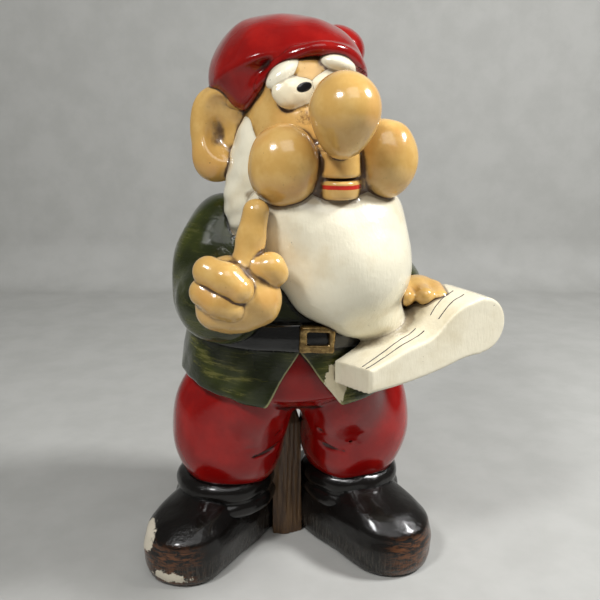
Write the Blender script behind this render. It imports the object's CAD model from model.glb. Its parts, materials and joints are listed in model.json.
import json
import math
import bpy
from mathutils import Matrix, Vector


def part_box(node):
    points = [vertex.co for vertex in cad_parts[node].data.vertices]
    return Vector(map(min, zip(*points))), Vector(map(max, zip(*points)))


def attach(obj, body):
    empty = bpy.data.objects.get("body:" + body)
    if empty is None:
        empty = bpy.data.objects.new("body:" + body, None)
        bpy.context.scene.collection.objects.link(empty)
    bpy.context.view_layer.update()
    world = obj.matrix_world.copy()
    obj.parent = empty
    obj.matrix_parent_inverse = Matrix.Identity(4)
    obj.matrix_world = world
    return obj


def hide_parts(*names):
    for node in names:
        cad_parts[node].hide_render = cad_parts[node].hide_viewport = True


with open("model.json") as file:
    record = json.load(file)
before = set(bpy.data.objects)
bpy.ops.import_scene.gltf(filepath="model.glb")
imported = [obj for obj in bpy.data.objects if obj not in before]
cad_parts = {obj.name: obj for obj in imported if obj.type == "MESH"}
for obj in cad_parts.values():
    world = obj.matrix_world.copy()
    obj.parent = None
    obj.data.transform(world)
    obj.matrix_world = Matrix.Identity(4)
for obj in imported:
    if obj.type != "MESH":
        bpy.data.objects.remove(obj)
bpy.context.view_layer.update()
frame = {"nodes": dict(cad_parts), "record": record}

from concurrent.futures import ThreadPoolExecutor

import bpy
import numpy as np
import openvdb
from mathutils import Matrix, Vector

# A painted garden gnome, modelled the way a sculptor blocks it out: each element is a lump of clay, given
# as a depth field in millimetres that is below 0 inside it. Neighbours are melted into each other, the
# whole is cut back into its elements where one lump meets the next, and each element is meshed and painted.

MM = 0.001
# mesh steps in mm, for the buckle, for the face and hands, for most clothes and for large plain areas
TINY, FINE, MEDIUM, BROAD = 0.6, 0.8, 1.1, 1.4
SLIT = 0.03  # mm left between neighbours
REACH = 12.0  # mm within which one lump's shape can change another's
CREASE_REACH, HOLLOW_REACH = 1.6, 6.0  # mm over which the fine and the broad hollows are felt
FAR = 50.0  # mm, deeper than any wall is felt
BATCH = 12000  # points whose depth is worked out at a time
SCRAP = 0.06  # share of a piece's points below which a loose bit is thrown away
SHARP = math.radians(52)  # angle past which an edge shows as one
HEAD_TURN = 12.0  # degrees that the face looks to its left


# ---------------------------------------------------------------- where things go

boxes = {name: [np.array(corner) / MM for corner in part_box(name)] for name in frame["nodes"]}


def by(node, x=0.0, y=0.0, z=0.0):
    """The point that far, in mm, from the middle of a CAD node's box."""
    low, high = boxes[node]
    return (low + high) / 2 + (x, y, z)


# ---------------------------------------------------------------- clay


class Clay:
    """A lump: its depth field, and the corners of a box that holds it."""

    def __init__(self, depth, low, high):
        self.depth, self.low, self.high = depth, np.array(low, float), np.array(high, float)


def turned(turn=0.0, tip=0.0, roll=0.0):
    """Rolled about Y, then tipped about X, then turned about Z, in degrees."""
    steps = ((roll, "Y"), (tip, "X"), (turn, "Z"))
    spin = Matrix.Identity(3)
    for angle, axis in steps:
        spin = Matrix.Rotation(math.radians(angle), 3, axis) @ spin
    return np.array(spin)


def soft_min(a, b, soft):
    """The smaller of two depths, blended where they are within soft of each other."""
    if soft <= 0:
        return np.minimum(a, b)
    overlap = np.maximum(soft - np.abs(a - b), 0) / soft
    return np.minimum(a, b) - overlap * overlap * soft / 4


def egg(at, radii, turn=0.0, tip=0.0, roll=0.0):
    """An ellipsoid with those half sizes."""
    at, radii, spin = np.array(at, float), np.array(radii, float), turned(turn, tip, roll)

    def depth(p):
        q = (p - at) @ spin
        near = np.linalg.norm(q / radii, axis=1)
        return near * (near - 1) / np.maximum(np.linalg.norm(q / radii**2, axis=1), 1e-6)

    half = np.sqrt((spin * radii) ** 2 @ np.ones(3))
    return Clay(depth, at - half, at + half)


def rope(points, radii, soft=2.0):
    """Round bars from point to point, tapering from radius to radius."""
    points = [np.array(q, float) for q in points]
    radii = [float(radii)] * len(points) if np.isscalar(radii) else radii

    def depth(p):
        found = None
        for a, b, ra, rb in zip(points, points[1:], radii, radii[1:]):
            along = b - a
            t = np.clip((p - a) @ along / (along @ along), 0, 1)
            bar = np.linalg.norm(p - a - t[:, None] * along, axis=1) - (ra + t * (rb - ra))
            found = bar if found is None else soft_min(found, bar, soft)
        return found

    reach = max(radii) + soft
    return Clay(depth, np.min(points, axis=0) - reach, np.max(points, axis=0) + reach)


def ring(at, radii, tube):
    """A tube of that radius along a level ellipse."""
    at = np.array(at, float)
    a, b = radii

    def depth(p):
        q = p - at
        flat = np.hypot(q[:, 0] / a, q[:, 1] / b)
        out = flat * (flat - 1) / np.maximum(np.hypot(q[:, 0] / a**2, q[:, 1] / b**2), 1e-6)
        return np.hypot(out, q[:, 2]) - tube

    half = np.array((a, b, 0.0)) + 2 * tube
    return Clay(depth, at - half, at + half)


def loop(at, stops, tube, inset):
    """A tube round a centre, just inside (angle, radius, height) stops; angles go from -Y towards +X."""
    at = np.array(at, float)
    path = eased(stops)
    first = stops[0][0]

    def depth(p):
        q = p - at
        angle = (np.degrees(np.arctan2(q[:, 0], -q[:, 1])) - first) % 360 + first
        radius, height = path(angle)
        return np.hypot(np.hypot(q[:, 0], q[:, 1]) - radius + inset, q[:, 2] - height) - tube

    reach = max(stop[1] for stop in stops) - inset + tube
    heights = [stop[2] for stop in stops]
    low = at + (-reach, -reach, min(heights) - tube)
    return Clay(depth, low, at + (reach, reach, max(heights) + tube))


def block(at, half, edge, turn=0.0, tip=0.0, roll=0.0):
    """A box with that rounding on its edges."""
    at, half, spin = np.array(at, float), np.array(half, float), turned(turn, tip, roll)

    def depth(p):
        q = np.abs((p - at) @ spin) - (half - edge)
        return np.linalg.norm(np.maximum(q, 0), axis=1) + np.minimum(q.max(1), 0) - edge

    corner = np.abs(spin) @ half
    return Clay(depth, at - corner, at + corner)


def eased(stops, steps=160, blur=9):
    """A smooth curve near (position, value, ...) stops, as a function of position."""
    stops = np.array(stops, float)
    at = np.linspace(stops[0, 0], stops[-1, 0], steps)
    hat = np.hanning(2 * blur + 1)[1:-1]
    columns = []
    for column in stops.T[1:]:
        fine = np.pad(np.interp(at, stops[:, 0], column), blur, mode="reflect", reflect_type="odd")
        columns.append(np.convolve(fine, hat / hat.sum(), "same")[blur:-blur])
    return lambda x: [np.interp(x, at, column) for column in columns]


def stack(centre, levels, edge=2.0):
    """Level ellipses piled up, given as (height, half width, half depth)."""
    outline = eased(levels)
    base, top = levels[0][0], levels[-1][0]

    def depth(p):
        a, b = outline(p[:, 2])
        x, y = p[:, 0] - centre[0], p[:, 1] - centre[1]
        flat = np.hypot(x / a, y / b)
        side = flat * (flat - 1) / np.maximum(np.hypot(x / a**2, y / b**2), 1e-6)
        ends = np.maximum(base - p[:, 2], p[:, 2] - top)
        return -soft_min(-side, -ends, edge)

    a, b = max(s[1] for s in levels), max(s[2] for s in levels)
    low = (centre[0] - a, centre[1] - b, base)
    return Clay(depth, low, (centre[0] + a, centre[1] + b, top))


def melted(soft, *lumps):
    """Lumps run together, with fillets about that soft."""

    def depth(p):
        found = lumps[0].depth(p)
        for lump in lumps[1:]:
            found = soft_min(found, lump.depth(p), soft)
        return found

    low = np.min([lump.low for lump in lumps], axis=0) - soft / 4
    return Clay(depth, low, np.max([lump.high for lump in lumps], axis=0) + soft / 4)


def carved(lump, tool, soft=1.5):
    """A lump with a tool's shape taken out of it."""
    return Clay(lambda p: -soft_min(-lump.depth(p), tool.depth(p), soft), lump.low, lump.high)


def sliced(lump, at, facing, soft=1.5):
    """Only what lies behind a plane."""
    at, facing = np.array(at, float), np.array(facing, float) / np.linalg.norm(facing)
    return Clay(lambda p: -soft_min(-lump.depth(p), -((p - at) @ facing), soft), lump.low, lump.high)


def creased(lump, points, width, deep):
    """A groove along a path."""
    line = rope(points, 0.0, 0.0)

    def depth(p):
        away = line.depth(p) / width
        return lump.depth(p) + deep * np.exp(-away * away)

    return Clay(depth, lump.low, lump.high)


def uneven(lump, size, height, seed):
    """Slow dents and swellings of a hand-modelled surface."""
    chance = np.random.default_rng(seed)
    waves = chance.normal(size=(7, 3)) * 2 * math.pi / size / 1.7
    starts = chance.uniform(0, 2 * math.pi, 7)

    def depth(p):
        return lump.depth(p) + height * np.sin(p @ waves.T + starts).mean(1) * 2

    return Clay(depth, lump.low - height, lump.high + height)


# ---------------------------------------------------------------- the elements in clay


def hat():
    crown = melted(
        18.0,
        egg(by("hat_crown", -8, -9, -5), (54, 59, 50)),
        egg(by("hat_crown", -4, 7, 9), (47, 48, 37)),
        egg(by("hat_crown", -22, 5, 17), (35, 44, 28)),
        egg(by("hat_crown", 10, -23, 9), (34.5, 42, 31)),
    )
    crown = sliced(crown, by("hat_brim", 0, 6, 4), -turned(HEAD_TURN, -24.0, 7.0)[:, 2], 4.0)
    temple = melted(
        10.0,
        egg(by("hat_brim", -37, 6, 14), (20, 26, 17)),
        egg(by("hat_brim", -33, -9, 12), (15, 20, 19), 0.0, 20.0),
        rope([by("hat_brim", -44, 10, 12), by("hat_brim", -36, -10, 1)], [11, 6.5]),
    )
    lobe = egg(by("hat_crown", 35.5, 25, 27.5), (23, 26, 19.5))
    edge = [(-94, 54, -3), (-69, 41.5, -3), (-51, 42.5, 3), (-34, 46, 13), (-20, 51, 22), (-4, 55, 29),
            (10, 58, 32), (25, 58.5, 31), (41, 56, 27), (57, 51, 20), (82, 48.5, 10), (109, 54, 0),
            (134, 60, -10), (162, 61, -17), (190, 61, -17), (218, 61, -12), (244, 60, -6), (266, 54, -3)]
    around = by("hat_brim", 0, 6, 0)
    brim = loop(around, edge, 4.4, 1.2)
    return {
        "hat_crown": uneven(melted(4.0, melted(14.0, crown, temple), lobe), 50.0, 0.7, 3),
        "hat_brim": uneven(brim, 30.0, 0.4, 4),
        "hat_tip": rope([by("hat_tip", -4, 19, 7), by("hat_tip", 2, -20, -16)], [23, 14]),
    }


def face():
    turn = HEAD_TURN
    mouth = by("upper_lip")
    level = mouth[2]
    lip = stack(mouth[:2], [(level - 7.6, 14.6, 16.4), (level, 14.2, 16.2), (level + 9, 13.6, 15.5)], 3.5)
    chin = stack(mouth[:2], [(level - 22, 13.0, 15), (level - 15, 14.4, 16.2), (level - 9.4, 14.2, 16)], 3.0)
    line_stops = ((-13, -11, -11.5), (-5, -17, -13.2), (5, -17, -13.2), (13, -11, -11.5))
    mouth_line = [mouth + stop for stop in line_stops]
    head = melted(8.0, egg(by("head"), (43, 54, 55), turn), egg(by("head", 3, -24, 39), (32, 23, 21), turn))
    for start, end in ((-14, -16), (-8, -10), (-2, -5)):
        crack = [by("eye_right", start, -10, -16), by("eye_right", end, -10, -27)]
        head = creased(head, crack, 1.6, 0.8)
    crevice = [by("eye_right", -14, -8, -17), by("eye_right", 4, -15, -15), by("eye_right", 16, -16, -12)]
    head = creased(head, crevice, 4.0, 3.2)
    behind_mouth = egg(by("upper_lip", 0, 7, -9), (25, 15, 26), turn)
    head = melted(5.0, head, behind_mouth)
    nose = melted(
        9.0,
        egg(by("nose", 0, -1, 3.6), (22, 24.6, 22.2), turn),
        egg(by("nose", 0, 6, -11), (14.6, 18, 16.5), turn),
    )
    eye = egg(by("eye_right", 2.5, 4, 0.5), (21.5, 8.4, 13), turn, -15.0, -10.0)
    return {
        "head": uneven(head, 26.0, 0.5, 11),
        "nose": uneven(nose, 34.0, 0.35, 12),
        "cheek_right": uneven(egg(by("cheek_right"), (23.6, 24, 27.4), turn), 30.0, 0.4, 13),
        "cheek_left": uneven(egg(by("cheek_left"), (23.4, 24, 27.4), turn), 30.0, 0.4, 14),
        "upper_lip": lip,
        "lower_lip": creased(chin, mouth_line, 1.2, 0.8),
        "eye_right": uneven(eye, 14.0, 0.4, 15),
        "eye_left": egg(by("eye_left", -6, 4, 3), (20, 8.6, 12.5), turn, -15.0, -12.0),
        "eyebrow_right": egg(by("eyebrow_right", -1, 3.5, 1), (15, 9.5, 6.6), turn, 0.0, -38.0),
        "eyebrow_left": egg(by("eyebrow_left", -0.5, 5, 1), (13, 9.5, 6.0), turn, 0.0, 14.0),
    }


def ears():
    dish = melted(
        9.0,
        egg(by("ear_right", 1.5, 0, 1), (21.5, 11, 34), -18.0, 0.0, -8.0),
        egg(by("ear_right", -3, -3, -19), (15, 10, 15), -18.0),
        egg(by("ear_right", 8, -8, 22), (14, 9, 12), -18.0, 0.0, 20.0),
    )
    shell = egg(by("ear_right", 4, -13.5, 5), (14, 7.5, 22), -18.0, 0.0, -14.0)
    bowl = egg(by("ear_right", 0, -10, 1.5), (7.5, 9, 11), -18.0, 0.0, -10.0)
    spout = rope([by("ear_right", 2, -9, -3), by("ear_right", 12, -12, -12)], [4.6, 3.6])
    right = carved(carved(dish, shell, 7.0), melted(4.0, bowl, spout), 4.0)
    dish = egg(by("ear_left"), (16, 10.5, 30), 46.0, 0.0, 6.0)
    bowl = egg(by("ear_left", 5, -8, 1), (9, 9, 18), 46.0, 0.0, 6.0)
    lobe = egg(by("ear_left", -2, 0, -21), (9, 8, 10), 46.0)
    return {
        "ear_right": uneven(right, 30.0, 0.3, 21),
        "ear_left": melted(6.0, carved(dish, bowl, 4.0), lobe),
    }


def hair():
    beard = melted(
        16.0,
        egg(by("beard", 12, 0, -7), (48.5, 46.5, 49.5), HEAD_TURN),
        egg(by("beard", -3, 8, 29), (58, 39, 28), HEAD_TURN),
    )
    beside_fist = egg(by("beard", -29, -6, 16), (24, 25, 36))
    over_scroll = egg(by("beard", 30, 0, -48), (28, 22, 15), 20.0)
    beard = melted(12.0, beard, beside_fist, over_scroll)
    side = melted(
        8.0,
        egg(by("sideburn_right", 3, 1, 5), (12.5, 22, 42), 25.0, 0.0, 6.0),
        egg(by("sideburn_right", -3, 6, -22), (11, 18, 24), 15.0, 0.0, -4.0),
    )
    return {
        "beard": uneven(beard, 36.0, 0.7, 31),
        "sideburn_right": uneven(side, 15.0, 0.7, 32),
        "sideburn_left": uneven(egg(by("sideburn_left"), (14.5, 24, 40), -10.0, 0.0, -4.0), 15.0, 0.6, 33),
        "back_hair": uneven(egg(by("back_hair", 0, -9, 9), (42, 34, 38), HEAD_TURN), 22.0, 0.8, 34),
    }


def jacket():
    hem, waist = boxes["jacket_skirt"][0][2], boxes["jacket_skirt"][1][2]
    neck, hip = boxes["jacket_body"][1][2], 175.0
    middle = by("jacket_body")[:2]
    body = stack(
        middle,
        [(waist - 6, 84, 81), (waist, 84, 81), (245, 80, 75), (272, 69, 62), (292, 53, 47), (308, 34, 32),
         (neck + 8, 20, 20)],
    )
    skirt = stack(middle, [(hem, 93, 88), (hip, 90, 84.5), (waist + 4, 84, 81)], 4.0)
    lining = stack(middle, [(hem - 12, 84, 79.5), (hip, 82, 77), (waist - 10, 75, 72)], 3.0)
    skirt = carved(lifted_at_sides(skirt, middle[0]), lifted_at_sides(lining, middle[0]), 2.0)
    apex = by("buckle", -12, 0, -11)
    left_corner, right_corner = apex + (34, 0, -46), apex + (-25, 0, -42)
    skirt = carved(skirt, wedge(apex, right_corner, left_corner), 1.5)
    right = melted(
        22.0,
        egg(by("sleeve_right", 3, 30, 10), (28, 32, 42), 0.0, 14.0, 14.0),
        egg(by("sleeve_right", -1, 14, -6), (28, 33, 32)),
        egg(by("sleeve_right", -4, -2, -24), (27, 34, 26)),
        egg(by("sleeve_right", 6, -33, -23), (30, 34, 27), -15.0),
    )
    for start, end in (((-31, -2, 16), (-18, -34, 2)), ((-34, 4, 6), (-26, -34, -8))):
        right = creased(right, [by("sleeve_right", *start), by("sleeve_right", *end)], 2.6, 0.9)
    left = melted(
        14.0,
        egg(by("sleeve_left", -10, 13, 6), (27, 31, 42), 0.0, 4.0, -12.0),
        egg(by("sleeve_left", 3, -11, -24), (24, 33, 24), -10.0),
    )
    return {
        "jacket_body": uneven(body, 45.0, 0.6, 41),
        "jacket_skirt": uneven(skirt, 26.0, 0.6, 42),
        "sleeve_right": uneven(right, 28.0, 0.9, 43),
        "sleeve_left": uneven(left, 28.0, 0.9, 44),
    }


def lifted_at_sides(lump, middle_x, rise=10.0, half_width=91.0, fall=30.0):
    """The same with its lower edge higher at the sides than in front; the lift starts at the belt."""
    waist = boxes["belt"][0][2]

    def depth(p):
        out = np.minimum(np.abs(p[:, 0] - middle_x) / half_width, 1)
        lift = rise * out * out * np.clip((waist - p[:, 2]) / fall, 0, 1)
        return lump.depth(p - np.stack([0 * lift, 0 * lift, lift], axis=1))

    return Clay(depth, lump.low, lump.high + (0, 0, rise))


def wedge(apex, right, left, front=-40.0, room=60.0):
    """The open V at the front of the skirt, from its point down past the hem; it cuts only before front."""

    def depth(p):
        x, z = p[:, 0], p[:, 2]
        sides = []
        for corner, way in ((right, -1), (left, 1)):
            run = np.array((corner[0] - apex[0], corner[2] - apex[2]))
            across = np.array((-run[1], run[0])) / np.linalg.norm(run)
            sides.append(way * ((x - apex[0]) * across[0] + (z - apex[2]) * across[1]))
        return np.maximum(np.maximum(*sides), p[:, 1] - front)

    return Clay(depth, right - room, left + room)


def belt_and_buckle():
    low, high = boxes["belt"]
    middle, half = (low + high) / 2, (high - low) / 2
    band = stack(
        middle[:2],
        [(low[2], half[0], half[1]), (middle[2], half[0] - 0.4, half[1] - 0.6),
         (high[2], half[0] - 2.0, half[1] - 2.6)],
    )
    low, high = boxes["buckle"]
    size = (high - low) / 2
    at = by("buckle")
    frame_bar = block(at, (size[0], 5.5, size[2] - 0.5), 2.0, 0, 0, 3)
    window = block(at + (0.5, 0, 1), (size[0] - 5.0, 9, size[2] - 5.6), 1.2, 0, 0, 3)
    return {
        "belt": uneven(band, 30.0, 0.3, 51),
        "buckle": uneven(carved(frame_bar, window, 1.6), 9.0, 0.25, 52),
    }


def finger(node, knuckles, radii, soft=4.0):
    """A tapering finger through knuckles measured from the middle of a node's box."""
    return rope([by(node, *knuckle) for knuckle in knuckles], radii, soft)


def hands():
    fist = melted(
        7.0,
        egg(by("fist_right", -2, -1, 1), (28, 22.5, 25), -10.0, 0.0, 15.0),
        egg(by("fist_right", 15, -6, -4), (13.5, 14, 16)),
        egg(by("fist_right", -6, -2, -13), (22, 18, 12.5)),
    )
    index = finger("index_finger", [(-5, -1.6, -27), (-0.5, 0, -4), (3, 2, 12)], [11.0, 9.0, 8.6])
    thumb = finger("thumb_right", [(-10, 0, 10), (-3, -1, 10.5), (0, 0, 6)], [8.2, 9.0, 9.0])
    middle = finger("curled_fingers", [(-9, 6, 15), (2, -1, 11), (10, -4, 5)], [10.2, 10.2, 9.0])
    ring_finger = finger("curled_fingers", [(-12, 8, 1), (-3, 1, -4), (5, -1, -8)], [10.0, 9.8, 8.6])
    left = melted(
        4.5,
        egg(by("hand_left", 0, 2, 0), (20, 18, 16.5), 25.0),
        finger("hand_left", [(-12, -4, 6), (-15, -20, 5)], [7.5, 6.5], 2.0),
        finger("hand_left", [(0, -4, 7), (-1, -22, 6)], [7.5, 6.8], 2.0),
        finger("hand_left", [(12, -5, 6), (11, -22, 4)], [7.2, 6.5], 2.0),
    )
    return {
        "fist_right": uneven(fist, 22.0, 0.4, 61),
        "index_finger": uneven(index, 22.0, 0.3, 62),
        "thumb_right": thumb,
        "curled_fingers": melted(1.2, middle, ring_finger),
        "hand_left": left,
    }


SHEET_TURN, SHEET_LENGTH, SHEET_WIDTH, SHEET_EDGE = 20.0, 98.0, 48.0, 2.8  # degrees, then mm
ROLL_HEIGHT, ROLL_RADIUS = 34.0, 21.3
DROOP, DROOP_LENGTH = 8.0, 60.0
SHEET_CORNER = boxes["scroll"][0] + (SHEET_WIDTH * math.sin(math.radians(SHEET_TURN)), 0, 0)
# along the sheet from its cut end: the height of its middle, and half its thickness
SHEET_LINE = eased([(-12, 8.3, 8.3), (0, 8.4, 8.4), (20, 12, 11.2), (33, 15, 13), (50, 18, 13.4),
                    (58, 21, 15), (68, 27, 19), (80, 32, 21), (SHEET_LENGTH, ROLL_HEIGHT, ROLL_RADIUS),
                    (130, ROLL_HEIGHT, ROLL_RADIUS)])


def sheet_droop(along, across):
    """How much lower the back edge of the cut end lies."""
    return DROOP * np.clip(across / SHEET_WIDTH, 0, 1) * np.clip(1 - along / DROOP_LENGTH, 0, 1)


def scroll():
    spin = turned(SHEET_TURN)

    def depth(p):
        q = (p - SHEET_CORNER) @ spin
        centre, half = SHEET_LINE(q[:, 0])
        height = q[:, 2] + sheet_droop(q[:, 0], q[:, 1])
        sheet = np.maximum(np.abs(height - centre) - half, np.maximum(-q[:, 0], q[:, 0] - SHEET_LENGTH))
        roll = np.hypot(q[:, 0] - SHEET_LENGTH, height - ROLL_HEIGHT) - ROLL_RADIUS
        flat = soft_min(sheet, roll, 3.0)
        sides = np.abs(q[:, 1] - SHEET_WIDTH / 2) - SHEET_WIDTH / 2
        rim = np.stack([flat, sides], axis=1) + SHEET_EDGE
        return np.linalg.norm(np.maximum(rim, 0), axis=1) + np.minimum(rim.max(1), 0) - SHEET_EDGE

    low, high = boxes["scroll"]
    sheet = Clay(depth, np.minimum(low, SHEET_CORNER - 2) - 3, high + (5, 5, 6))
    return {"scroll": uneven(sheet, 40.0, 0.5, 71)}


LEG_HEIGHT = 108.0  # mm from the ground to the middle of a trouser leg


def trousers():
    waist = boxes["trouser_seat"][1][2]
    legs = []
    for name, side in (("trouser_leg_right", 1), ("trouser_leg_left", -1)):
        at = np.array((by(name)[0], 0.0, LEG_HEIGHT))
        leg = melted(
            22.0,
            egg(at, (44, 50, 62)),
            egg(at + (side * 21, -5, -12), (27, 40, 36)),
            egg(at + (side * 24, -30, 38), (32, 38, 40)),
        )
        knee = at + (side * 25, -50, 2)
        for start, end, wide, deep in (
            ((12, 2, 20), (-16, -1, 6), 2.8, 2.4),
            ((14, 3, 8), (-8, 0, -2), 3.0, 2.6),
            ((15, 6, -8), (-4, 2, -12), 2.6, 2.0),
            ((-4, 0, 2), (-16, 1, -6), 2.4, 1.8),
        ):
            ends = [knee + (side * start[0], start[1], start[2]), knee + (side * end[0], end[1], end[2])]
            leg = creased(leg, ends, wide, deep)
        legs.append(uneven(leg, 40.0, 0.8, 81))
    middle = by("trouser_seat")[:2]
    seat = stack(middle, [(134, 40, 30), (143, 70, 60), (155, 80, 76), (175, 80.5, 75), (waist, 74, 71)], 4.0)
    crotch = egg((middle[0], -22.0, 147.0), (30, 32, 17))
    return {"trousers": melted(6.0, seat, crotch, *legs)}


BOOTS_TURN = -4.0  # degrees that the pair stands turned about the post
HEEL, TOE = (37.0, 17.0), (84.0, -48.0)  # mm from the post to the middles of a heel and of a toe
HEEL_RADIUS, TOE_RADIUS, BOOT_TOP = 33.0, 36.0, 60.0
# height, then the shares of the length, of the toe's radius and of the heel's radius
BOOT_LEVELS = eased([(-6, 1, 0.86, 0.92), (0, 1.0, 0.9, 0.93), (9, 1.0, 0.985, 1.0), (24, 0.995, 1.0, 1.0),
                     (37, 0.97, 0.94, 0.97), (47, 0.86, 0.80, 0.92), (56, 0.62, 0.66, 0.86),
                     (66, 0.4, 0.6, 0.7)])


def boots():
    made = {}
    for name, side in (("right", -1), ("left", 1)):
        boot = Clay(boot_depth(side), *boxes["boot_" + name])
        boot.low, boot.high = boot.low - (2, 2, 0), boot.high + (2, 2, 4)
        made["boot_" + name] = uneven(boot, 30.0, 0.7, 90 + side)
        at = by("boot_cuff_" + name)
        lower = ring(at + (0, 0, -9), (35.5, 38), 7.6)
        upper = ring(at + (0, 0, 5), (32, 34.5), 10.2)
        core = stack(at[:2], [(at[2] - 14, 34, 36), (at[2] + 14, 32, 35)], 3.0)
        cuff = melted(3.0, lower, upper, core)
        made["boot_cuff_" + name] = uneven(cuff, 24.0, 0.8, 95 + side)
    return made


def boot_depth(side):
    """A broad round-toed boot: at each height, the outline round a heel circle and a toe circle."""
    spin = turned(BOOTS_TURN)
    heel, toe = np.array((side * HEEL[0], HEEL[1])), np.array((side * TOE[0], TOE[1]))
    run = np.linalg.norm(toe - heel)
    ahead = (toe - heel) / run
    across = np.array((-ahead[1], ahead[0]))

    def depth(p):
        q = p @ spin
        reach, toe_share, heel_share = BOOT_LEVELS(q[:, 2])
        u, v = (q[:, :2] - heel) @ ahead, np.abs((q[:, :2] - heel) @ across)
        length, toe_round, heel_round = run * reach, TOE_RADIUS * toe_share, HEEL_RADIUS * heel_share
        t = np.clip(u / length + (v / length) * (toe_round - heel_round) / length, 0, 1)
        flat = np.hypot(u - t * length, v) - (heel_round + t * (toe_round - heel_round))
        ends = np.maximum(-q[:, 2], q[:, 2] - BOOT_TOP)
        return -soft_min(-flat, -ends, 4.0)

    return depth


POST_FOOT = np.array([(-12.5, -9.0), (-2.0, -12.5), (12.5, -8.0), (12.5, 22.0), (-12.5, 22.0)])  # its corners
POST_PEAK = 26.0  # mm over which its top draws in


def post():
    low, high = boxes["support_post"]
    top = high[2]

    def depth(p):
        share = np.interp(p[:, 2], [0, top - POST_PEAK, top], [1.04, 0.95, 0.2])
        found = np.full(len(p), -1e3)
        for a, b in zip(POST_FOOT, np.roll(POST_FOOT, -1, axis=0)):
            run = (b - a) / np.linalg.norm(b - a)
            out = np.array((run[1], -run[0]))
            found = np.maximum(found, p[:, :2] @ out - (a @ out) * share)
        x, y, z = p.T
        broad_grain = 0.18 * np.sin(x * 1.25 + 2.2 * np.sin(z * 0.045) + y * 0.6)
        fine_grain = 0.14 * np.sin(x * 2.4 - y * 1.7 + 1.5 * np.sin(z * 0.08))
        found = found + broad_grain + fine_grain
        return np.maximum(found, np.maximum(-p[:, 2], p[:, 2] - top))

    return {"support_post": Clay(depth, low - 1, high + (1, 1, 0))}


CLAY = {}
for modelled in (hat, face, ears, hair, jacket, belt_and_buckle, hands, scroll, trousers, boots, post):
    CLAY.update(modelled())

# How softly neighbours run into each other, in mm, from the closest relations outwards
SEAMS = (
    0.3,
    (6.0, "hat_crown", "hat_brim", "hat_tip"),
    (2.4,
     (4.5, "head", "nose", "cheek_right", "cheek_left", "ear_right", "ear_left"),
     (1.6, "lower_lip", "upper_lip"),
     (8.0, "eye_right", "eye_left"),
     (2.0, "eyebrow_right", "eyebrow_left"),
     (9.0, (4.0, "beard", "sideburn_right", "sideburn_left", "back_hair"), "scroll")),
    (7.0, "jacket_body", "sleeve_right", "sleeve_left"),
    (0.5, "jacket_skirt", "belt", "buckle"),
    (3.0, "fist_right", "index_finger", "thumb_right", "curled_fingers"),
    (1.0, "hand_left"),
    (1.5, "trousers"),
    (1.0, "boot_cuff_right", "boot_right"),
    (1.0, "boot_cuff_left", "boot_left"),
    (0.5, "support_post"),
)
STEP = {name: MEDIUM for name in CLAY}
STEP.update({name: FINE for modelled in (face, ears, hands) for name in modelled()})
STEP.update({"buckle": TINY, "trousers": BROAD, "jacket_body": BROAD, "back_hair": BROAD, "hat_tip": BROAD})


def joined(relations, depths):
    """The whole skin's depth: the elements' depths run together as softly as their relations say."""
    if isinstance(relations, str):
        return depths.get(relations)
    soft, *members = relations
    found = None
    for member in members:
        depth = joined(member, depths)
        if depth is not None:
            found = depth if found is None else soft_min(found, depth, soft)
    return found


def skin_and_wall(name, near, points):
    """Depth below the whole gnome's skin, and beyond the wall between this element and its neighbours."""
    if len(points) > BATCH:
        parts = np.array_split(points, len(points) // BATCH + 1)
        found = [skin_and_wall(name, near, part) for part in parts]
        return [np.concatenate(half) for half in zip(*found)]
    low, high = points.min(0) - REACH, points.max(0) + REACH
    touched = {n: c for n, c in near.items() if n == name or ((c.low < high).all() and (c.high > low).all())}
    depths = {other: clay.depth(points) for other, clay in touched.items()}
    skin = joined(SEAMS, depths)
    own = depths.pop(name)
    if not depths:
        return skin, np.full(len(points), -FAR)
    return skin, (own - np.minimum.reduce(list(depths.values()))) / 2 + SLIT


def neighbours(name):
    """The elements near enough to change that one's shape, itself included."""
    own = CLAY[name]
    low, high = own.low - REACH, own.high + REACH
    return {n: c for n, c in CLAY.items() if (c.low < high).all() and (c.high > low).all()}


def cast(name):
    """Surface points and faces of one element; its depth is worked out closely only near its surface."""
    own, near, step = CLAY[name], neighbours(name), STEP[name]
    pack = 4  # steps along a block's side
    low = own.low - 3 * step
    counts = np.ceil((own.high + 3 * step - low) / (step * pack)).astype(int)
    index = np.indices(counts).reshape(3, -1).T
    centres = low + (index * pack + (pack - 1) / 2) * step
    skin, wall = skin_and_wall(name, near, centres)
    coarse = np.maximum(skin, wall)
    values = coarse.reshape(counts).repeat(pack, 0).repeat(pack, 1).repeat(pack, 2)
    busy = index[np.abs(coarse) < pack * step * 1.25]
    inner = np.indices((pack,) * 3).reshape(3, -1).T
    cells = (busy[:, None, :] * pack + inner[None]).reshape(-1, 3)
    skin, wall = skin_and_wall(name, near, low + cells * step)
    values[cells[:, 0], cells[:, 1], cells[:, 2]] = np.maximum(skin, wall)
    values[[0, -1]] = values[:, [0, -1]] = values[:, :, [0, -1]] = step
    grid = openvdb.FloatGrid(background=float(step))
    grid.copyFromArray(np.ascontiguousarray(values, np.float32))
    points, triangles, quads = grid.convertToPolygons(0.0, 0.0)
    points = low + points.astype(float) * step
    corners = [np.asarray(quads).reshape(-1, 4)[:, ::-1], np.asarray(triangles).reshape(-1, 3)[:, ::-1]]
    return points, corners


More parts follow.
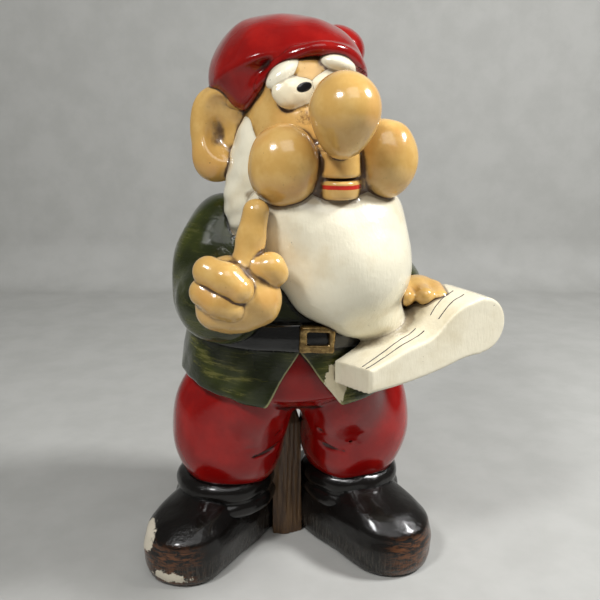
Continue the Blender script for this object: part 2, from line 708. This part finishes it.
def slopes(name, near, points, reach=0.05):
    """How steeply the two depths grow, felt at four tips round each point."""
    tips = np.array(((1, -1, -1), (-1, -1, 1), (-1, 1, -1), (1, 1, 1)), float)
    skin_slope, wall_slope = np.zeros(points.shape), np.zeros(points.shape)
    for tip in tips:
        skin, wall = skin_and_wall(name, near, points + tip * reach)
        skin_slope += skin[:, None] * tip / (4 * reach)
        wall_slope += wall[:, None] * tip / (4 * reach)
    return skin_slope, wall_slope


def pressed(name, points, rounds=3):
    """Moves points onto the true skin and wall, and those near where both meet onto that very edge."""
    near, step = neighbours(name), STEP[name]
    close, longest, lost = 0.55 * step, 0.6 * step, 1.5 * step
    start = points.copy()
    for _ in range(rounds):
        skin, wall = skin_and_wall(name, near, points)
        a, b = slopes(name, near, points)
        aa, bb, ab = (a * a).sum(1) + 1e-9, (b * b).sum(1) + 1e-9, (a * b).sum(1)
        to_skin = -(skin / aa)[:, None] * a
        to_wall = -(wall / bb)[:, None] * b
        room = aa * bb - ab * ab
        u, v = (-skin * bb + wall * ab) / room, (-wall * aa + skin * ab) / room
        to_edge = u[:, None] * a + v[:, None] * b
        move = np.where((skin > wall)[:, None], to_skin, to_wall)
        edge = (np.abs(skin) < close) & (np.abs(wall) < close) & (room > 0.05 * aa * bb)
        move = np.where(edge[:, None], to_edge, move)
        long = np.linalg.norm(move, axis=1)
        points = points + move * np.minimum(1, longest / np.maximum(long, 1e-9))[:, None]
    away = np.linalg.norm(points - start, axis=1)
    return np.where((away < lost)[:, None], points, start)


def kept_lumps(count, corners):
    """Which points belong to lumps that are more than scraps."""
    sides = [np.stack([c[:, i], c[:, i - 1]], 1) for c in corners if len(c) for i in range(c.shape[1])]
    ends = np.concatenate(sides)
    label = np.arange(count)
    while True:
        low = np.minimum(label[ends[:, 0]], label[ends[:, 1]])
        new = label.copy()
        np.minimum.at(new, ends[:, 0], low)
        np.minimum.at(new, ends[:, 1], low)
        new = new[new]
        if (new == label).all():
            break
        label = new
    sizes = np.bincount(label, minlength=count)
    return sizes[label] > SCRAP * sizes.max()


def sculpted(name):
    """The points and faces of one element, and how creased, how hollow and how near an edge each point is."""
    points, corners = cast(name)
    keep = kept_lumps(len(points), corners)
    renumber = np.cumsum(keep) - 1
    corners = [renumber[c[keep[c[:, 0]]]] for c in corners]
    points = pressed(name, points[keep])
    near = neighbours(name)
    skin, wall = skin_and_wall(name, near, points)
    felt = {}
    for label, reach in (("crease", CREASE_REACH), ("hollow", HOLLOW_REACH)):
        total = -6 * skin
        for axis in np.eye(3):
            for way in (-reach, reach):
                total += skin_and_wall(name, near, points + axis * way)[0]
        felt[label] = total / reach
    felt["edge"] = -wall
    return points, [face for c in corners for face in c.tolist()], felt


def element(name, points, faces, felt):
    """The mesh of one element, smooth but for its sharp edges."""
    mesh = bpy.data.meshes.new(name + "_cast")
    mesh.from_pydata(points * MM, [], faces)
    for label, values in felt.items():
        mesh.attributes.new(label, "FLOAT", "POINT").data.foreach_set("value", values.astype(np.float32))
    mesh.polygons.foreach_set("use_smooth", [True] * len(mesh.polygons))
    mesh.set_sharp_from_angle(angle=SHARP)
    piece = bpy.data.objects.new(name + "_cast", mesh)
    bpy.context.scene.collection.objects.link(piece)
    return piece


# ---------------------------------------------------------------- lines inked on the scroll

# each line's two ends, in mm along and across the sheet
INK_LINES = (((2, 13), (53, 22)), ((1, 7), (54, 13)), ((64, 20), (91, 28)), ((64, 10), (91, 16)))
INK_RADIUS, INK_STEP, INK_WAVER = 0.42, 1.5, 0.45  # mm


def ink_path(start, end, seed):
    """Points of one wavering line, each dropped onto the top of the sheet."""
    chance = np.random.default_rng(seed)
    count = int(abs(end[0] - start[0]) / INK_STEP) + 2
    share = np.linspace(0, 1, count)[:, None]
    flat = np.array(start, float) * (1 - share) + np.array(end, float) * share
    flat[:, 1] += np.convolve(chance.normal(0, INK_WAVER, count + 4), np.ones(5) / 5, "valid")
    centre, half = SHEET_LINE(flat[:, 0])
    top = centre + half - sheet_droop(flat[:, 0], flat[:, 1])
    spot = SHEET_CORNER + np.column_stack([flat, top]) @ turned(SHEET_TURN).T
    heights = np.arange(-4.0, 14.0, 0.2)
    columns = np.repeat(spot, len(heights), axis=0)
    columns[:, 2] += np.tile(heights, count)
    skin = skin_and_wall("scroll", neighbours("scroll"), columns)[0].reshape(count, -1)
    inside = np.where(skin < 0, heights, heights[0])
    spot[:, 2] += inside.max(axis=1) + 0.1
    return spot * MM


def ink_nodes():
    """Geometry nodes that draw a thin closed tube along each edge path."""
    tree = bpy.data.node_groups.new("ink_lines", "GeometryNodeTree")
    inputs = (("Path", "NodeSocketGeometry"), ("Radius", "NodeSocketFloat"), ("Ink", "NodeSocketMaterial"))
    for label, kind in inputs:
        tree.interface.new_socket(label, in_out="INPUT", socket_type=kind)
    tree.interface.new_socket("Lines", in_out="OUTPUT", socket_type="NodeSocketGeometry")
    kinds = ("MeshToCurve", "CurvePrimitiveCircle", "CurveToMesh", "RealizeInstances", "SetMaterial")
    curve, circle, tube, real, inked = [tree.nodes.new("GeometryNode" + kind) for kind in kinds]
    given, result = tree.nodes.new("NodeGroupInput"), tree.nodes.new("NodeGroupOutput")
    circle.inputs["Resolution"].default_value = 8
    tube.inputs["Fill Caps"].default_value = True
    for out, into in (
        (given.outputs["Path"], curve.inputs["Mesh"]),
        (given.outputs["Radius"], circle.inputs["Radius"]),
        (curve.outputs["Curve"], tube.inputs["Curve"]),
        (circle.outputs["Curve"], tube.inputs["Profile Curve"]),
        (tube.outputs["Mesh"], real.inputs["Geometry"]),
        (real.outputs["Geometry"], inked.inputs["Geometry"]),
        (given.outputs["Ink"], inked.inputs["Material"]),
        (inked.outputs["Geometry"], result.inputs["Lines"]),
    ):
        tree.links.new(out, into)
    return tree


def ink_lines(ink):
    """All the lines as one baked piece."""
    points, edges = [], []
    for seed, (start, end) in enumerate(INK_LINES, 90):
        path = ink_path(start, end, seed)
        edges += [(len(points) + i, len(points) + i + 1) for i in range(len(path) - 1)]
        points += [tuple(point) for point in path]
    mesh = bpy.data.meshes.new("ink_paths")
    mesh.from_pydata(points, edges, [])
    drawn = bpy.data.objects.new("ink_paths", mesh)
    bpy.context.scene.collection.objects.link(drawn)
    layer = drawn.modifiers.new("ink", "NODES")
    layer.node_group = ink_nodes()
    asked = [item for item in layer.node_group.interface.items_tree if item.in_out == "INPUT"]
    sockets = {item.name: item.identifier for item in asked}
    layer[sockets["Radius"]] = INK_RADIUS * MM
    layer[sockets["Ink"]] = ink
    seen = drawn.evaluated_get(bpy.context.evaluated_depsgraph_get())
    baked = bpy.data.meshes.new_from_object(seen)
    bpy.data.objects.remove(drawn)
    piece = bpy.data.objects.new("ink_lines", baked)
    bpy.context.scene.collection.objects.link(piece)
    return piece


# ---------------------------------------------------------------- paint

# colours as linear red, green and blue
OCHRE, OCHRE_LIGHT, OCHRE_BLUSH = (0.62, 0.37, 0.105), (0.70, 0.45, 0.15), (0.66, 0.30, 0.075)
GLAZE, GLAZE_THIN, GLAZE_SMEAR, GLAZE_SPECK = (
    (0.085, 0.040, 0.012), (0.17, 0.075, 0.022), (0.20, 0.10, 0.03), (0.05, 0.025, 0.01))
MOUTH_RED = (0.52, 0.025, 0.015)
HAT_RED, HAT_RED_THIN, HAT_RED_DEEP = (0.23, 0.0025, 0.002), (0.30, 0.006, 0.004), (0.05, 0.002, 0.001)
CLOTH_RED, CLOTH_RED_THIN, CLOTH_RED_DEEP = (0.25, 0.002, 0.0015), (0.34, 0.005, 0.003), (0.03, 0.002, 0.001)
BEARD_CREAM, BEARD_SHADE = (0.84, 0.79, 0.62), (0.68, 0.58, 0.38)
PAPER_IVORY, PAPER_SHADE = (0.80, 0.74, 0.57), (0.62, 0.54, 0.36)
CREAM_GLAZE, HAND_SMUDGE, PIT_BROWN = (0.20, 0.14, 0.075), (0.26, 0.24, 0.20), (0.10, 0.07, 0.04)
EYE_WHITE, EYE_GLAZE, EYE_STAIN, PUPIL = (
    (0.80, 0.72, 0.52), (0.10, 0.055, 0.025), (0.42, 0.28, 0.13), (0.004, 0.003, 0.003))
GREEN, GREEN_DEEP, GREEN_GLAZE = (0.042, 0.052, 0.008), (0.016, 0.021, 0.004), (0.003, 0.004, 0.002)
OLIVE_STREAK, OLIVE_WORN = (0.16, 0.15, 0.035), (0.34, 0.32, 0.14)
JACKET_CHIP, BOOT_CHIP = (0.62, 0.55, 0.38), (0.66, 0.60, 0.48)
BLACK, BELT_SCRATCH, BELT_WORN = (0.003, 0.003, 0.003), (0.07, 0.065, 0.06), (0.06, 0.055, 0.05)
GOLD_DULL, GOLD, GOLD_GLAZE = (0.16, 0.095, 0.028), (0.42, 0.28, 0.10), (0.02, 0.012, 0.004)
BOOT_BLACK, BOOT_GREY, TOE_BROWN, BOOT_WORN = (
    (0.005, 0.004, 0.0035), (0.075, 0.065, 0.052), (0.13, 0.05, 0.02), (0.11, 0.09, 0.07))
BARK, BARK_LIGHT, BARK_STREAK = (0.060, 0.027, 0.009), (0.16, 0.085, 0.032), (0.27, 0.17, 0.085)
INK_BLACK, INK_GREY = (0.02, 0.018, 0.016), (0.05, 0.045, 0.04)


class Wire:
    """A node's output that Python arithmetic works on."""

    def __init__(self, paint, socket):
        self.paint, self.socket = paint, socket

    def sum(self, operation, *values):
        return self.paint.node("ShaderNodeMath", {"operation": operation}, dict(enumerate(values)))

    def __add__(self, other):
        return self.sum("ADD", self, other)

    def __sub__(self, other):
        return self.sum("SUBTRACT", self, other)

    def __rsub__(self, other):
        return self.sum("SUBTRACT", other, self)

    def __mul__(self, other):
        return self.sum("MULTIPLY", self, other)

    __radd__, __rmul__ = __add__, __mul__


class Paint:
    """A material: one glossy shader, and the nodes that feed it."""

    def __init__(self, name, **constants):
        self.material = bpy.data.materials.new(name)
        self.material.use_nodes = True
        self.tree = self.material.node_tree
        self.shader = self.tree.nodes["Principled BSDF"]
        for socket, value in constants.items():
            self.shader.inputs[socket.replace("_", " ")].default_value = value
        self.place = self.node("ShaderNodeTexCoord", out="Object")

    def node(self, kind, settings=None, values=None, out=0):
        made = self.tree.nodes.new(kind)
        for key, value in (settings or {}).items():
            setattr(made, key, value)
        for key, value in (values or {}).items():
            if isinstance(value, Wire):
                self.tree.links.new(value.socket, made.inputs[key])
            else:
                made.inputs[key].default_value = value
        return Wire(self, made.outputs[out])

    def felt(self, name):
        return self.node("ShaderNodeAttribute", {"attribute_name": name}, out="Fac")

    def along(self, axis, middle, size):
        """How far along an axis from a point, as a share of a size, both in mm."""
        spread = self.node("ShaderNodeSeparateXYZ", values={0: self.place}, out=axis)
        return (spread - float(middle) * MM) * (1 / (size * MM))

    def moved(self, size, stretch=(1, 1, 1), turn=(0, 0, 0), start=0.0):
        scale = [share / (size * MM) for share in stretch]
        turn = [math.radians(angle) for angle in turn]
        values = {"Vector": self.place, "Location": (start,) * 3, "Rotation": turn, "Scale": scale}
        return self.node("ShaderNodeMapping", values=values)

    def noise(self, size, detail=2.0, rough=0.5, stretch=(1, 1, 1), turn=(0, 0, 0), start=0.0, bend=0.0):
        values = {"Vector": self.moved(size, stretch, turn, start), "Scale": 1.0, "Detail": detail,
                  "Roughness": rough, "Distortion": bend}
        return self.node("ShaderNodeTexNoise", values=values)

    def fade(self, value, low, high):
        """0 below low, 1 above high, and smooth between; the other way round when low is the larger."""
        values = {"Value": value, "From Min": low, "From Max": high}
        return self.node("ShaderNodeMapRange", {"interpolation_type": "SMOOTHSTEP"}, values)

    def mix(self, share, a, b):
        a, b = [(*c, 1.0) if isinstance(c, tuple) else c for c in (a, b)]
        return self.node("ShaderNodeMix", {"data_type": "RGBA"}, {0: share, 6: a, 7: b}, 2)

    def finish(self, colour, rough=None, bump=None, deep=0.3, strength=0.6, **others):
        feeds = {"Base Color": colour, "Roughness": rough, **others}
        if bump is not None:
            values = {"Height": bump, "Strength": strength, "Distance": deep * MM}
            feeds["Normal"] = self.node("ShaderNodeBump", values=values)
        for socket, wire in feeds.items():
            if wire is not None:
                self.tree.links.new(wire.socket, self.shader.inputs[socket])
        return self.material


def wash(paint, colour, brown, strength=1.0, reach=0.0):
    """Dark glaze that settles in the creases and hollows and was wiped off the rest."""
    patchy = paint.noise(9.0, 4.0, 0.6, start=2.0)
    crease = paint.fade(paint.felt("crease") + (patchy - 0.5) * 0.5, -0.08, -0.62)
    hollow = paint.fade(paint.felt("hollow") + (patchy - 0.5) * 1.2, -0.25 + reach, -1.5 + reach)
    edge = paint.fade(paint.felt("edge") + (patchy - 0.5) * 1.4, 0.9, 0.0)
    share = crease * 0.75 + hollow * 0.75 + edge * 0.35
    share = paint.fade(share, 0.0, 1.3) * strength
    return paint.mix(share, colour, brown), share


def skin_paint(name, mouth=False):
    paint = Paint(name, Coat_Weight=0.5, Coat_Roughness=0.06, IOR=1.5)
    blotch = paint.noise(16.0, 3.0, 0.6)
    colour = paint.mix(paint.fade(blotch, 0.35, 0.7), OCHRE, OCHRE_LIGHT)
    blush = paint.fade(paint.noise(26.0, 2.0, 0.5, start=7.0), 0.5, 0.72)
    colour = paint.mix(blush * 0.35, colour, OCHRE_BLUSH)
    low, high = boxes["eye_right"]
    under_eye = spot_on(paint, ((low[0] + high[0]) / 2 + 4, low[1] - 4, low[2] - 3), (17, 12, 8.5))
    rag = (paint.noise(5.0, 5.0, 0.75, start=3.0) - 0.5) * 2.4
    colour = paint.mix(paint.fade(under_eye + rag, 1.1, 0.4) * 0.85, colour, GLAZE_THIN)
    if mouth:
        low, high = boxes["lower_lip"]
        band = paint.along("Z", high[2] - 6.6, 1.7) + (paint.noise(6.0) - 0.5) * 0.5
        line = paint.fade(band * band, 1.0, 0.35)
        colour = paint.mix(line, colour, MOUTH_RED)
    colour, dirt = wash(paint, colour, GLAZE, 1.0, 0.2)
    smear = paint.fade(paint.noise(11.0, 5.0, 0.7, start=4.0), 0.6, 0.8)
    colour = paint.mix(smear * 0.28, colour, GLAZE_SMEAR)
    speck = paint.fade(paint.noise(1.5, 1.0, 0.5, start=9.0), 0.77, 0.83)
    colour = paint.mix(speck * 0.7, colour, GLAZE_SPECK)
    rough = 0.2 + dirt * 0.25 + (blotch - 0.5) * 0.2
    brush = paint.noise(2.2, 3.0, 0.6, stretch=(1, 1, 0.45)) + paint.noise(12.0) * 2.0
    return paint.finish(colour, rough, brush, 0.22, 0.5)


def gloss_paint(name, base, light, dark):
    """Thick enamel: a base colour, lighter where it is thin, darker where it pools."""
    paint = Paint(name, Coat_Weight=0.5, Coat_Roughness=0.05, IOR=1.3)
    blotch = paint.noise(20.0, 3.0, 0.55)
    colour = paint.mix(paint.fade(blotch, 0.4, 0.75), base, light)
    colour, dirt = wash(paint, colour, dark, 0.95)
    speck = paint.fade(paint.noise(1.6, 1.0, 0.5, start=5.0), 0.78, 0.84)
    colour = paint.mix(speck * 0.5, colour, dark)
    rough = 0.14 + dirt * 0.2 + paint.fade(paint.noise(7.0, 5.0, 0.7, start=3.0), 0.5, 0.85) * 0.2
    bump = paint.noise(3.2, 4.0, 0.6) + paint.noise(14.0, start=2.0) * 2.5
    return paint.finish(colour, rough, bump, 0.3, 0.5)


def cream_paint(name, base, shade):
    """Thick ivory enamel with brush marks, pits and handling marks."""
    paint = Paint(name, Coat_Weight=0.5, Coat_Roughness=0.07, IOR=1.5)
    blotch = paint.noise(24.0, 3.0, 0.6)
    colour = paint.mix(paint.fade(blotch, 0.45, 0.8) * 0.6, base, shade)
    colour, dirt = wash(paint, colour, CREAM_GLAZE, 0.8)
    smudge = paint.fade(paint.noise(8.0, 6.0, 0.75, stretch=(1, 1, 0.6), start=6.0), 0.62, 0.8)
    colour = paint.mix(smudge * 0.30, colour, HAND_SMUDGE)
    pit = paint.fade(paint.noise(2.1, 1.0, 0.4, start=3.0), 0.79, 0.84)
    colour = paint.mix(pit * 0.8, colour, PIT_BROWN)
    rough = 0.2 + dirt * 0.3 + smudge * 0.15
    strokes = paint.noise(2.0, 3.0, 0.6, stretch=(1.0, 1.0, 0.22), turn=(18, 24, 0))
    bump = strokes + paint.noise(10.0, 3.0, 0.6) * 1.6 - pit * 0.8
    return paint.finish(colour, rough, bump, 0.4, 0.6)


def eye_paint():
    paint = Paint("eye_enamel", Coat_Weight=0.6, Coat_Roughness=0.05, IOR=1.5)
    low, high = boxes["eye_right"]
    at = (low + high) / 2 + (3.2, 0, 2.0)
    across, up = paint.along("X", at[0], 4.9), paint.along("Z", at[2], 3.4)
    across = across + up * -0.35
    pupil = paint.fade(across * across + up * up, 1.15, 0.85)
    colour, dirt = wash(paint, EYE_WHITE, EYE_GLAZE, 0.85)
    stain = paint.fade(paint.noise(9.0, 5.0, 0.7), 0.55, 0.8)
    colour = paint.mix(stain * 0.3, colour, EYE_STAIN)
    colour = paint.mix(pupil, colour, PUPIL)
    return paint.finish(colour, 0.16 + dirt * 0.25, paint.noise(6.0, 3.0), 0.3, 0.4)


def jacket_paint():
    paint = Paint("jacket_enamel", Coat_Weight=0.45, Coat_Roughness=0.06, IOR=1.35)
    waist = boxes["jacket_skirt"][1][2]
    streaks = paint.noise(16.0, 6.0, 0.75, stretch=(0.45, 0.45, 4.2), turn=(0, 6, 0), bend=0.3)
    broad = paint.noise(34.0, 2.0, 0.5, start=4.0)
    skirt = paint.fade(paint.along("Z", waist - 8, 8.0), 0.5, -0.5)
    dry = paint.fade(streaks + (broad - 0.5) * 0.5, 0.50, 0.68)
    colour = paint.mix(paint.fade(broad, 0.35, 0.7), GREEN_DEEP, GREEN)
    colour = paint.mix(dry * (0.2 + skirt * 0.55), colour, OLIVE_STREAK)
    worn = paint.fade(paint.felt("crease") + (streaks - 0.5) * 0.8, 0.42, 1.0)
    colour = paint.mix(worn * 0.75, colour, OLIVE_WORN)
    chipped = chip_on_flap(paint)
    colour = paint.mix(chipped, colour, JACKET_CHIP)
    colour, _ = wash(paint, colour, GREEN_GLAZE, 0.9)
    rough = 0.14 + dry * 0.16 + paint.fade(paint.noise(5.0, 6.0, 0.75), 0.45, 0.8) * 0.2
    bump = paint.noise(3.0, 5.0, 0.7, stretch=(0.5, 0.5, 2.0)) + paint.noise(11.0, start=3.0) * 2.2 - chipped
    return paint.finish(colour, rough, bump, 0.5, 0.6)


def chip_on_flap(paint):
    """Paint knocked off the flap at the gnome's left, below the buckle."""
    low = boxes["jacket_skirt"][0]
    across, up = paint.along("X", 27.0, 9.0), paint.along("Z", low[2] + 18, 16.0)
    front = paint.fade(paint.along("Y", -60.0, 4.0), 0.5, -0.5)
    away = across * across + up * up + (paint.noise(7.0, 4.0, 0.7, start=8.0) - 0.5) * 2.2
    return paint.fade(away, 0.95, 0.8) * front


def belt_paint():
    paint = Paint("belt_enamel", Coat_Weight=0.5, Coat_Roughness=0.08, IOR=1.5)
    scratch = paint.fade(paint.noise(2.4, 6.0, 0.8, stretch=(0.25, 0.25, 3.0), turn=(0, 10, 0)), 0.62, 0.72)
    colour = paint.mix(scratch * 0.5, BLACK, BELT_SCRATCH)
    worn = paint.fade(paint.felt("crease"), 0.6, 1.3)
    colour = paint.mix(worn * 0.35, colour, BELT_WORN)
    return paint.finish(colour, 0.16 + scratch * 0.3, paint.noise(3.0, 5.0, 0.7) + scratch, 0.35, 0.6)


def buckle_paint():
    paint = Paint("buckle_gold", IOR=1.5, Coat_Weight=0.3, Coat_Roughness=0.1)
    patch = paint.noise(4.0, 4.0, 0.7)
    colour = paint.mix(paint.fade(patch, 0.4, 0.7), GOLD_DULL, GOLD)
    colour, dirt = wash(paint, colour, GOLD_GLAZE, 0.95, 0.25)
    metal = paint.fade(dirt, 0.7, 0.2) * 0.8
    return paint.finish(colour, 0.28 + dirt * 0.3, patch, 0.3, 0.6, Metallic=metal)


def boot_paint():
    paint = Paint("boot_enamel", Coat_Weight=0.35, Coat_Roughness=0.08, IOR=1.3)
    sides = paint.fade(paint.along("Z", 20.0, 12.0), 0.9, -0.6)
    upright = paint.noise(2.6, 5.0, 0.75, stretch=(1.6, 1.6, 0.18))
    grey = sides * paint.fade(upright, 0.4, 0.72)
    colour = paint.mix(grey * 0.75, BOOT_BLACK, BOOT_GREY)
    outwards = paint.node("ShaderNodeMath", {"operation": "ABSOLUTE"}, {0: paint.along("X", -3.0, 1.0)})
    toe = paint.fade(outwards, 66.0, 88.0) * paint.fade(paint.along("Z", 31.0, 10.0), 0.9, -0.2)
    band = paint.noise(5.0, 5.0, 0.7, stretch=(0.5, 0.5, 2.0), bend=0.4)
    colour = paint.mix(toe * paint.fade(band, 0.42, 0.6) * 0.9, colour, TOE_BROWN)
    worn = paint.fade(paint.felt("crease") + (band - 0.5) * 0.8, 0.5, 1.1)
    colour = paint.mix(worn * 0.5, colour, BOOT_WORN)
    chips = boot_chips(paint)
    colour = paint.mix(chips, colour, BOOT_CHIP)
    colour, _ = wash(paint, colour, BLACK, 0.9)
    rough = 0.17 + grey * 0.25 + chips * 0.4 + paint.fade(paint.noise(5.0, 6.0, 0.75), 0.5, 0.8) * 0.2
    waves = paint.noise(14.0, start=3.0) * 2.0
    bump = paint.noise(3.0, 5.0, 0.7) + upright * sides * 0.8 + waves - chips * 1.2
    return paint.finish(colour, rough, bump, 0.55, 0.7)


def boot_chips(paint):
    """Paint knocked off the toes, most of it on the right boot's."""
    outer_x, front_y, ground = boxes["boot_right"][0]
    rag = (paint.noise(5.0, 6.0, 0.75, start=6.0) - 0.5) * 2.6
    big = spot_on(paint, (outer_x + 9, front_y + 34, ground + 31), (15, 19, 13)) + rag * 0.7
    small = spot_on(paint, (outer_x + 24, front_y + 10, ground + 10), (16, 16, 6)) + rag * 1.6
    outer_x, front_y = boxes["boot_left"][1][0], boxes["boot_left"][0][1]
    other = spot_on(paint, (outer_x - 6, front_y + 38, ground + 24), (6, 8, 4)) + rag * 0.8
    chips = None
    for away in (big, small, other):
        chip = paint.fade(away, 0.8, 0.72)
        chips = chip if chips is None else chips.sum("MAXIMUM", chips, chip)
    return chips


def spot_on(paint, at, size):
    """Squared distance from a spot, in shares of its half sizes."""
    total = None
    for axis, middle, half in zip("XYZ", at, size):
        away = paint.along(axis, middle, half)
        total = away * away if total is None else total + away * away
    return total


def bark_paint():
    paint = Paint("bark_enamel", Coat_Weight=0.25, Coat_Roughness=0.15, IOR=1.5)
    grain = paint.noise(5.0, 6.0, 0.75, stretch=(1.5, 1.5, 0.12), bend=0.5)
    colour = paint.mix(paint.fade(grain, 0.38, 0.66), BARK, BARK_LIGHT)
    streak = paint.fade(paint.noise(3.0, 4.0, 0.7, stretch=(2.0, 2.0, 0.1), start=5.0), 0.62, 0.72)
    colour = paint.mix(streak * 0.6, colour, BARK_STREAK)
    bump = grain + paint.noise(1.6, 4.0, stretch=(2, 2, 0.3)) * 0.5
    return paint.finish(colour, 0.38 + grain * 0.2, bump, 0.9, 0.9)


PAINTS = {
    "hat_red": gloss_paint("hat_enamel", HAT_RED, HAT_RED_THIN, HAT_RED_DEEP),
    "skin": skin_paint("skin_enamel"),
    "lip_red": skin_paint("mouth_enamel", mouth=True),
    "eye_white": eye_paint(),
    "hair_cream": cream_paint("beard_enamel", BEARD_CREAM, BEARD_SHADE),
    "jacket_green": jacket_paint(),
    "belt_black": belt_paint(),
    "buckle_gold": buckle_paint(),
    "trousers_red": gloss_paint("trouser_enamel", CLOTH_RED, CLOTH_RED_THIN, CLOTH_RED_DEEP),
    "boot_black": boot_paint(),
    "paper_ivory": cream_paint("paper_enamel", PAPER_IVORY, PAPER_SHADE),
    "bark_brown": bark_paint(),
}
slot_of = {part["node"]: part["material_slot"] for part in frame["record"]["subparts"]}
stands_for = {"trousers": ("trouser_seat", "trouser_leg_right", "trouser_leg_left")}

with ThreadPoolExecutor(4) as bench:
    casts = dict(zip(CLAY, bench.map(sculpted, CLAY)))

for name in CLAY:
    piece = element(name, *casts[name])
    nodes = stands_for.get(name, (name,))
    piece.data.materials.append(PAINTS[slot_of[nodes[0]]])
    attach(piece, "root")
    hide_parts(*nodes)

ink = Paint("ink")
lines = ink_lines(ink.finish(ink.mix(ink.noise(4.0), INK_BLACK, INK_GREY)))
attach(lines, "root")


# ---------------------------------------------------------------- floor, lights and camera

FLOOR_GREY, FLOOR_LIGHT = (0.40, 0.40, 0.38), (0.44, 0.44, 0.42)
WALL_AT, WALL_BEND, WALL_TOP, FLOOR_REACH = 0.95, 0.10, 2.6, 3.0  # metres
WALL_TURN, BEND_POINTS = -8.0, 13  # degrees, and points round the bend
CHEST = Vector((0.0, -0.03, 0.22))
CAMERA_AT, CAMERA_BACK = (-0.066, -0.559, 0.364), (-0.1344, -0.9565, 0.2588)  # and the way its back faces
LENS, SENSOR = 42.0, 36.0  # mm


def backdrop():
    """A pale floor that bends up into a wall behind, square to the camera."""
    bend = [(WALL_AT - WALL_BEND + WALL_BEND * math.sin(a), WALL_BEND - WALL_BEND * math.cos(a))
            for a in np.linspace(0, math.pi / 2, BEND_POINTS)]
    profile = [(-FLOOR_REACH, 0.0)] + bend + [(WALL_AT, WALL_TOP)]
    spin = Matrix.Rotation(math.radians(WALL_TURN), 3, "Z")
    points = [spin @ Vector((x, y, z)) for y, z in profile for x in (-FLOOR_REACH, FLOOR_REACH)]
    faces = [(2 * i, 2 * i + 1, 2 * i + 3, 2 * i + 2) for i in range(len(profile) - 1)]
    mesh = bpy.data.meshes.new("floor")
    mesh.from_pydata(points, [], faces)
    mesh.polygons.foreach_set("use_smooth", [True] * len(faces))
    paint = Paint("floor_paper", Roughness=0.75)
    cloudy = paint.fade(paint.noise(60.0, 4.0, 0.6), 0.3, 0.7)
    mesh.materials.append(paint.finish(paint.mix(cloudy, FLOOR_GREY, FLOOR_LIGHT)))
    floor = bpy.data.objects.new("floor", mesh)
    bpy.context.scene.collection.objects.link(floor)


def lamp(name, towards, away, size, power):
    """A square soft lamp, in metres and watts, that points at the gnome's chest."""
    light = bpy.data.lights.new(name, "AREA")
    light.size, light.energy = size, power
    held = bpy.data.objects.new(name, light)
    held.location = CHEST + Vector(towards).normalized() * away
    held.rotation_euler = (held.location - CHEST).to_track_quat("Z", "Y").to_euler()
    bpy.context.scene.collection.objects.link(held)


backdrop()
lamp("lamp_left", towards=(-0.48, -0.49, 0.73), away=1.3, size=0.22, power=10.0)
lamp("lamp_right", towards=(0.72, -0.18, 0.66), away=1.3, size=0.26, power=19.0)
lamp("lamp_soft", towards=(0.1, -0.6, 0.8), away=1.8, size=1.0, power=7.0)

world = bpy.data.worlds.new("studio")
world.use_nodes = True
sky = world.node_tree.nodes["Background"]
sky.inputs["Color"].default_value = (1.0, 0.98, 0.94, 1.0)
sky.inputs["Strength"].default_value = 0.14
bpy.context.scene.world = world

camera = bpy.data.objects.new("camera", bpy.data.cameras.new("camera"))
camera.data.lens, camera.data.sensor_width = LENS, SENSOR
camera.location = CAMERA_AT
camera.rotation_euler = Vector(CAMERA_BACK).to_track_quat("Z", "Y").to_euler()
bpy.context.scene.collection.objects.link(camera)
bpy.context.scene.camera = camera
bpy.context.scene.view_settings.view_transform = "Standard"
